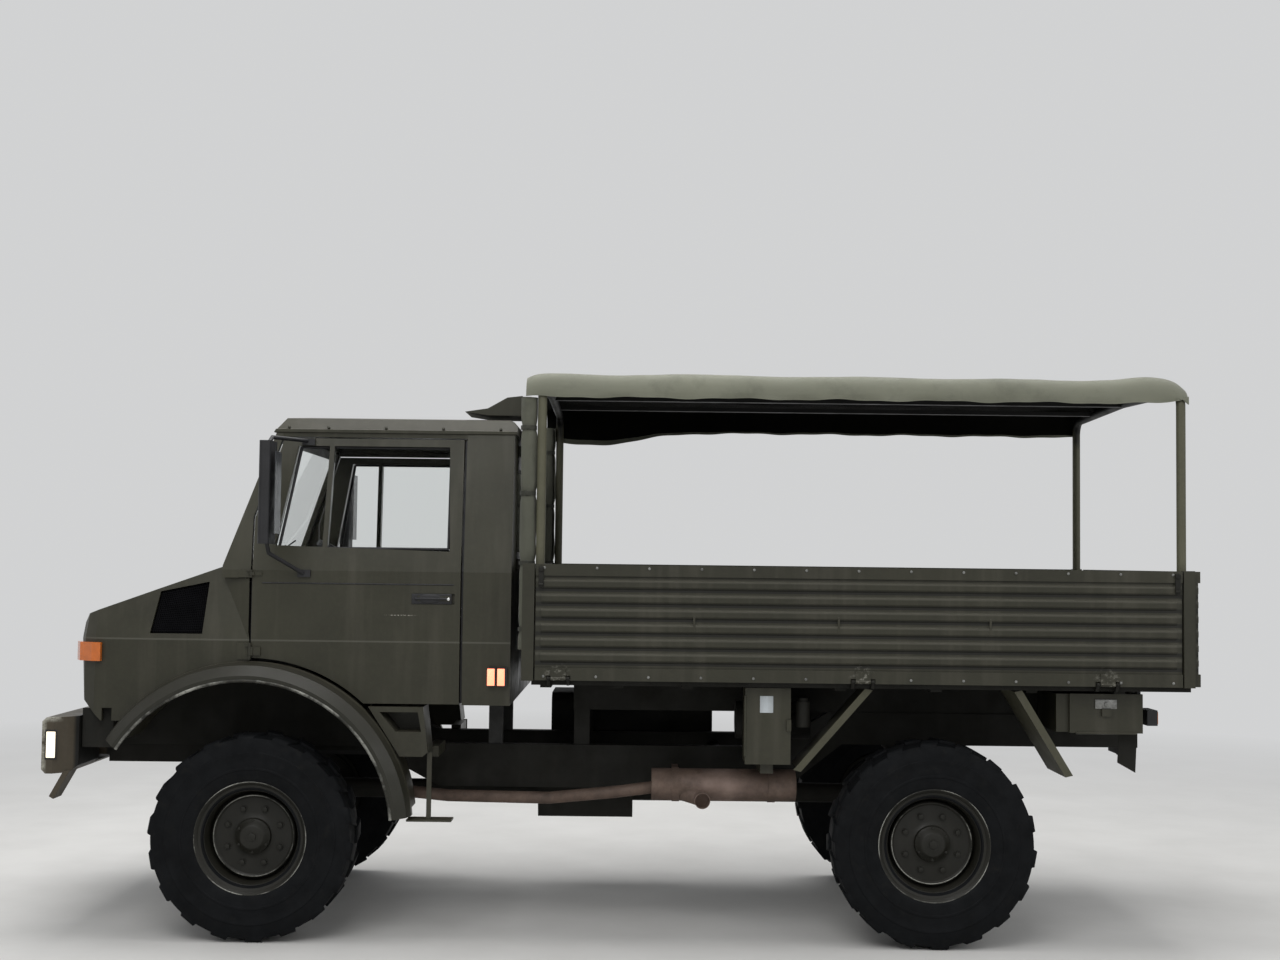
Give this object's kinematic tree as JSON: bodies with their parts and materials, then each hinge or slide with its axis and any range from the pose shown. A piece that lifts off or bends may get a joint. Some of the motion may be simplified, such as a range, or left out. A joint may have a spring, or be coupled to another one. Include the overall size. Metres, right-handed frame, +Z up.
{
  "type": "military cargo truck",
  "caption": "Two-door four-wheel-drive cargo truck with portal axles, steered front wheels, opening doors and bonnet, and a drop-side bed under an open canvas canopy.",
  "frame": {"origin": "on the ground under the middle of the truck's box", "axes": "+X to the front of the truck, +Y to its left, +Z up"},
  "size_m": [6.28, 2.642, 3.1063],
  "materials": {
    "body_paint": "matt olive bronze green paint, dusty and worn",
    "chassis_paint": "matt dark chassis paint with road dirt",
    "engine_metal": "oily cast metal",
    "rusty_steel": "dull steel with pinkish brown rust",
    "wheel_paint": "matt olive paint, chipped to metal on the flange",
    "tyre": "black rubber, dusty",
    "glass": "clear glass",
    "lamp_glass": "fluted clear lamp glass",
    "amber_plastic": "amber lamp lens",
    "red_plastic": "red lamp lens",
    "black_plastic": "black moulded plastic",
    "cab_trim": "dark painted floor with rubber mat",
    "seat_cloth": "dark woven seat cloth",
    "canopy_cloth": "faded coated canvas",
    "curtain_cloth": "dark coated canvas rolled up",
    "hoop_paint": "painted steel tube"
  },
  "bodies": {
    "chassis": {"air_intake": "body_paint", "air_tanks": "chassis_paint", "bed_floor": "chassis_paint", "bed_posts": "body_paint", "cab_back": "body_paint", "cab_floor": "cab_trim", "cab_front_frame": "body_paint", "cab_glass": "glass", "cab_roof": "body_paint", "cab_steps": "body_paint", "canopy": "canopy_cloth", "canopy_frame": "hoop_paint", "coil_springs": "chassis_paint", "curtain_rolls": "curtain_cloth", "dampers": "chassis_paint", "dashboard": "black_plastic", "driveline": "chassis_paint", "engine": "engine_metal", "exhaust": "rusty_steel", "fender_left": "body_paint", "fender_right": "body_paint", "frame_rails": "chassis_paint", "front_axle": "chassis_paint", "front_bumper": "chassis_paint", "front_indicators": "amber_plastic", "fuel_tank": "body_paint", "grille_panel": "body_paint", "headboard": "body_paint", "headlamps": "lamp_glass", "rear_axle": "chassis_paint", "rear_lamps": "red_plastic", "rear_mudguards": "chassis_paint", "seat_pads": "seat_cloth", "side_box": "body_paint", "steering_wheel": "black_plastic", "toolbox": "body_paint", "tow_coupling": "chassis_paint"},
    "knuckle_left": {"knuckle_left": "chassis_paint"},
    "knuckle_right": {"knuckle_right": "chassis_paint"},
    "tie_rod": {"tie_rod": "chassis_paint"},
    "wheel_fl": {"rim_fl": "wheel_paint", "tyre_fl": "tyre"},
    "wheel_fr": {"rim_fr": "wheel_paint", "tyre_fr": "tyre"},
    "wheel_rl": {"rim_rl": "wheel_paint", "tyre_rl": "tyre"},
    "wheel_rr": {"rim_rr": "wheel_paint", "tyre_rr": "tyre"},
    "door_left": {"door_left": "body_paint", "door_left_glass": "glass", "mirror_left": "black_plastic"},
    "door_right": {"door_right": "body_paint", "door_right_glass": "glass", "mirror_right": "black_plastic"},
    "hood": {"hood": "body_paint"},
    "drop_side_left": {"drop_side_left": "body_paint"},
    "drop_side_right": {"drop_side_right": "body_paint"},
    "tailgate": {"tailgate": "body_paint"},
    "side_box_door": {"side_box_door": "body_paint"},
    "toolbox_door": {"toolbox_door": "body_paint"}
  },
  "joints": [
    {"name": "steer_left", "type": "hinge", "parent": "chassis", "child": "knuckle_left", "pos_m": [2.005, 0.742, 0.556], "axis": [0, 0, 1], "range_deg": [-32, 32]},
    {"name": "steer_right", "type": "hinge", "parent": "chassis", "child": "knuckle_right", "pos_m": [2.005, -0.742, 0.556], "axis": [0, 0, 1], "range_deg": [-32, 32]},
    {"name": "tie_rod_pin", "type": "hinge", "parent": "knuckle_left", "child": "tie_rod", "pos_m": [1.773, 0.742, 0.585], "axis": [0, 0, 1], "range_deg": [-32, 32]},
    {"name": "wheel_fl_spin", "type": "hinge", "parent": "knuckle_left", "child": "wheel_fl", "pos_m": [2.005, 0.93, 0.556], "axis": [0, 1, 0], "continuous": true},
    {"name": "wheel_fr_spin", "type": "hinge", "parent": "knuckle_right", "child": "wheel_fr", "pos_m": [2.005, -0.93, 0.556], "axis": [0, 1, 0], "continuous": true},
    {"name": "wheel_rl_spin", "type": "hinge", "parent": "chassis", "child": "wheel_rl", "pos_m": [-1.695, 0.93, 0.556], "axis": [0, 1, 0], "continuous": true},
    {"name": "wheel_rr_spin", "type": "hinge", "parent": "chassis", "child": "wheel_rr", "pos_m": [-1.695, -0.93, 0.556], "axis": [0, 1, 0], "continuous": true},
    {"name": "door_left_hinge", "type": "hinge", "parent": "chassis", "child": "door_left", "pos_m": [2.045, 1.014, 1.8], "axis": [0, 0, -1], "range_deg": [0, 70]},
    {"name": "door_right_hinge", "type": "hinge", "parent": "chassis", "child": "door_right", "pos_m": [2.045, -1.014, 1.8], "axis": [0, 0, 1], "range_deg": [0, 70]},
    {"name": "hood_hinge", "type": "hinge", "parent": "chassis", "child": "hood", "pos_m": [2.214, 0, 2.034], "axis": [0, -1, 0], "range_deg": [0, 50]},
    {"name": "drop_side_left_hinge", "type": "hinge", "parent": "chassis", "child": "drop_side_left", "pos_m": [-1.27, 1.152, 1.44], "axis": [-1, 0, 0], "range_deg": [0, 175]},
    {"name": "drop_side_right_hinge", "type": "hinge", "parent": "chassis", "child": "drop_side_right", "pos_m": [-1.27, -1.152, 1.44], "axis": [1, 0, 0], "range_deg": [0, 175]},
    {"name": "tailgate_hinge", "type": "hinge", "parent": "chassis", "child": "tailgate", "pos_m": [-3.13, 0, 1.44], "axis": [0, -1, 0], "range_deg": [0, 175]},
    {"name": "side_box_hinge", "type": "hinge", "parent": "chassis", "child": "side_box_door", "pos_m": [-0.666, 1.05, 1.195], "axis": [0, 0, -1], "range_deg": [0, 170]},
    {"name": "toolbox_hinge", "type": "hinge", "parent": "chassis", "child": "toolbox_door", "pos_m": [-2.64, 1.01, 1.168], "axis": [-1, 0, 0], "range_deg": [0, 170]}
  ],
  "couplings": [
    {"joint": "steer_right", "follows": "steer_left", "ratio": 1},
    {"joint": "tie_rod_pin", "follows": "steer_left", "ratio": -1}
  ]
}
